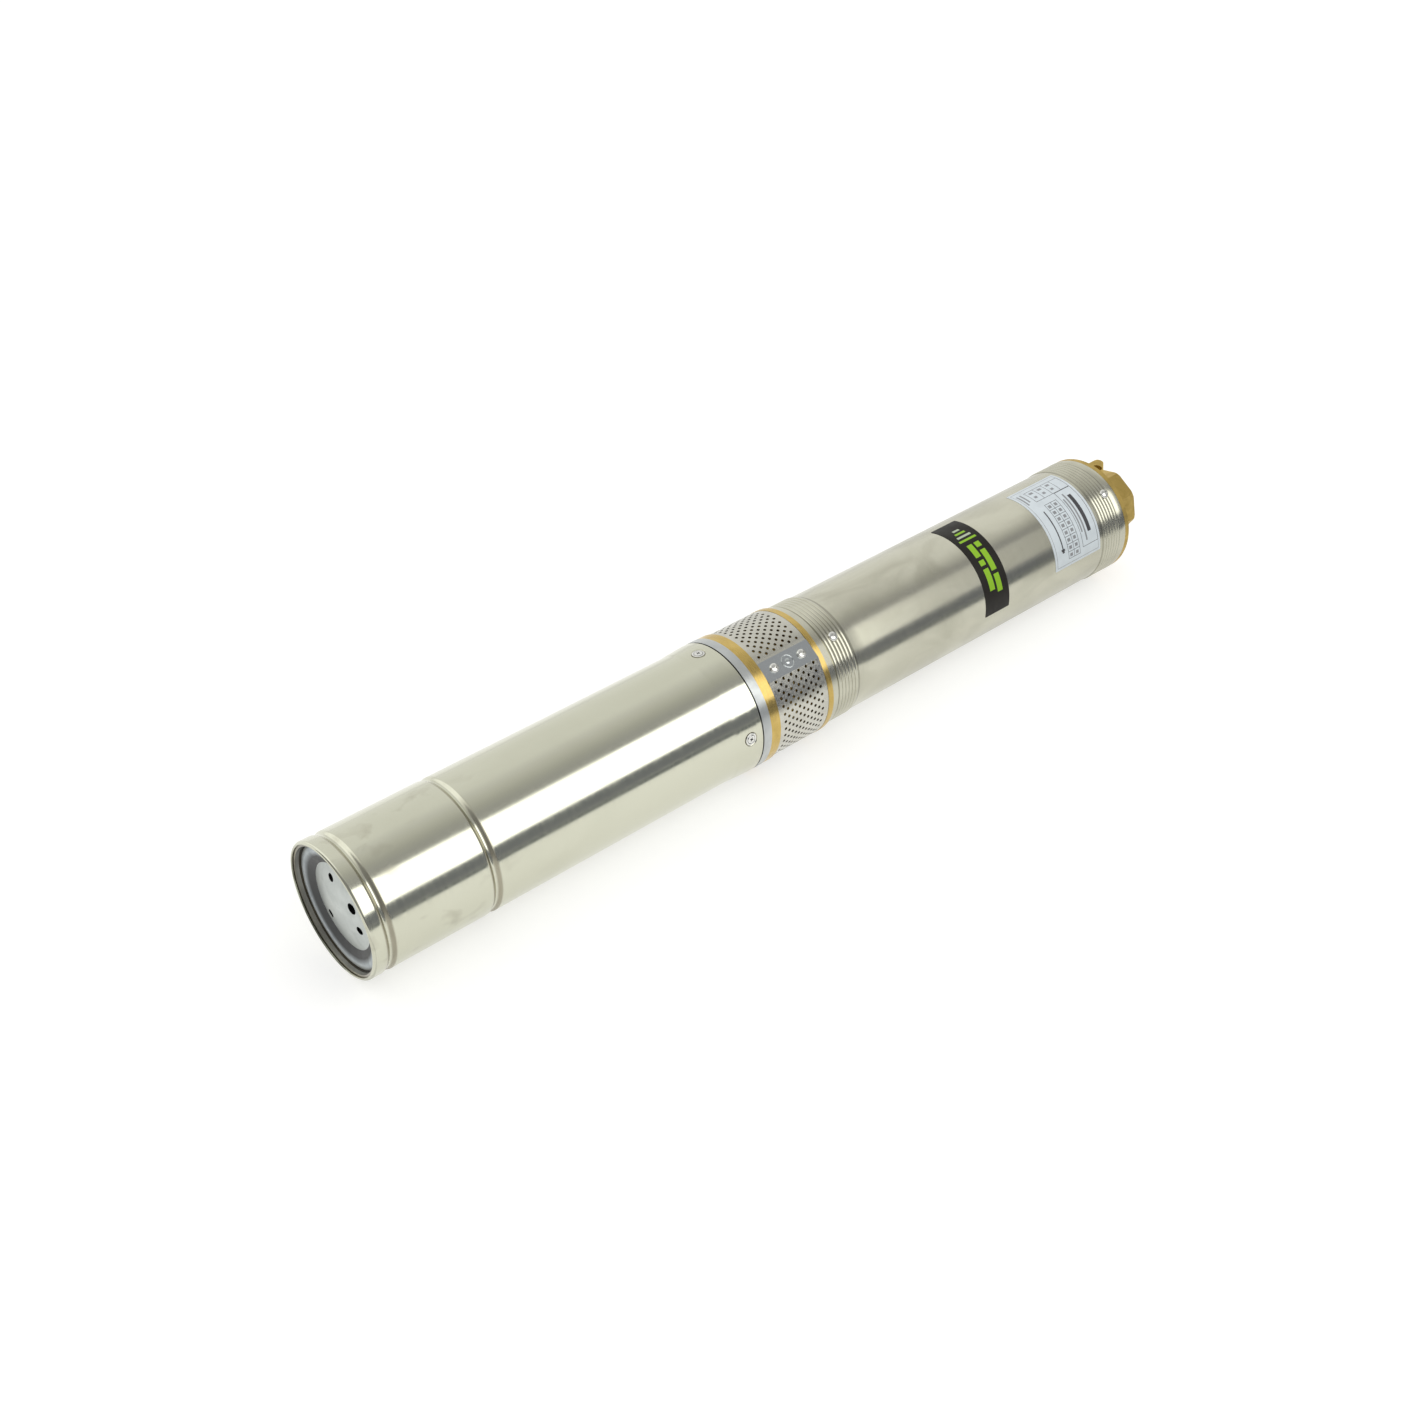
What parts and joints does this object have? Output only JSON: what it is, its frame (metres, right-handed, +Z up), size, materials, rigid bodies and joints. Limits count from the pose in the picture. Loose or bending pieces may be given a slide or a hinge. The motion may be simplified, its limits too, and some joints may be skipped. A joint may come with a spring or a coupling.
{
  "type": "borehole submersible pump",
  "caption": "Long slim submersible well pump: grooved steel motor shell, perforated suction strainer in brass rings, ribbed pump tube and brass outlet head with a rope eye.",
  "frame": {"origin": "on the ground under the middle of the pump's length, with the pump lying on its side", "axes": "+X along the pump axis from the motor towards the outlet, +Z up, +Y across; the pump axis is 50.2 mm above the ground"},
  "size_m": [0.747, 0.1004, 0.1004],
  "materials": {
    "polished_steel": "bright drawn stainless steel",
    "satin_steel": "satin stainless steel",
    "strainer_steel": "punched stainless sheet",
    "spring_steel": "spring steel",
    "bearing_steel": "ground bearing steel",
    "core_steel": "stacked electrical steel sheet",
    "shaft_steel": "ground stainless steel",
    "screw_steel": "stainless screw",
    "cast_aluminium": "cast and turned aluminium",
    "turned_aluminium": "turned aluminium",
    "cover_plate": "satin pressed steel",
    "brass": "turned brass",
    "cast_brass": "cast and machined brass",
    "black_rubber": "black nitrile rubber",
    "cable_sheath": "black cable sheath",
    "capacitor_plastic": "smooth white plastic can",
    "winding": "enamelled copper wire in resin",
    "seal_ceramic": "lapped ceramic",
    "seal_carbon": "carbon seal face in its holder",
    "stage_plastic": "glass filled plastic",
    "impeller_plastic": "moulded acetal",
    "valve_plastic": "moulded acetal",
    "black_label": "printed film label",
    "white_label": "printed film label"
  },
  "bodies": {
    "pump_body": {"motor_shell": "polished_steel", "cover_retaining_ring": "spring_steel", "end_cover": "cast_aluminium", "vent_plate": "cover_plate", "shell_seal_rings": "black_rubber", "equalising_diaphragm": "black_rubber", "capacitor": "capacitor_plastic", "lower_bearing_bracket": "cast_aluminium", "wave_spring": "spring_steel", "lower_bearing_outer_ring": "bearing_steel", "upper_bearing_outer_ring": "bearing_steel", "stator_core": "core_steel", "stator_windings": "winding", "upper_bearing_bracket": "turned_aluminium", "shell_screws": "screw_steel", "seal_seat": "seal_ceramic", "shaft_lip_seal": "black_rubber", "inlet_body": "brass", "inlet_strainer": "strainer_steel", "strainer_screws": "screw_steel", "pump_tube": "satin_steel", "tube_lock_screws": "screw_steel", "tube_seal_rings": "black_rubber", "stage_bowl_1": "stage_plastic", "stage_bowl_2": "stage_plastic", "stage_bowl_3": "stage_plastic", "stage_bowl_4": "stage_plastic", "stage_bowl_5": "stage_plastic", "stage_bowl_6": "stage_plastic", "stage_bowl_7": "stage_plastic", "top_bearing_carrier": "stage_plastic", "top_bearing_bush": "black_rubber", "delivery_head": "cast_brass", "valve_guide": "valve_plastic", "cable_gland_nut": "brass", "cable_gland_bush": "black_rubber", "motor_lead": "cable_sheath", "band_label": "black_label", "rating_label": "white_label"},
    "rotor": {"motor_shaft": "shaft_steel", "rotor_core": "core_steel", "rotor_cage": "cast_aluminium", "lower_bearing_inner_ring": "bearing_steel", "upper_bearing_inner_ring": "bearing_steel", "seal_head": "seal_carbon", "seal_spring": "spring_steel", "shaft_coupling": "shaft_steel", "pump_shaft": "shaft_steel", "impeller_1": "impeller_plastic", "impeller_2": "impeller_plastic", "impeller_3": "impeller_plastic", "impeller_4": "impeller_plastic", "impeller_5": "impeller_plastic", "impeller_6": "impeller_plastic", "impeller_7": "impeller_plastic", "pump_shaft_nut": "shaft_steel"},
    "lower_ball_cage": {"lower_ball_cage": "bearing_steel"},
    "upper_ball_cage": {"upper_ball_cage": "bearing_steel"},
    "check_valve": {"valve_poppet": "valve_plastic", "valve_spring": "spring_steel"}
  },
  "joints": [
    {"name": "rotor_spin", "type": "hinge", "parent": "pump_body", "child": "rotor", "pos_m": [-0.17925, 0, 0.0502], "axis": [1, 0, 0], "continuous": true},
    {"name": "lower_cage_spin", "type": "hinge", "parent": "pump_body", "child": "lower_ball_cage", "pos_m": [-0.27475, 0, 0.0502], "axis": [1, 0, 0], "continuous": true},
    {"name": "upper_cage_spin", "type": "hinge", "parent": "pump_body", "child": "upper_ball_cage", "pos_m": [-0.07925, 0, 0.0502], "axis": [1, 0, 0], "continuous": true},
    {"name": "valve_lift", "type": "slide", "parent": "pump_body", "child": "check_valve", "axis": [1, 0, 0], "range_m": [0, 0.009], "stiffness_N_per_m": 200, "deforming": ["valve_spring"]}
  ],
  "couplings": [
    {"joint": "lower_cage_spin", "follows": "rotor_spin", "ratio": 0.381},
    {"joint": "upper_cage_spin", "follows": "rotor_spin", "ratio": 0.38158}
  ]
}
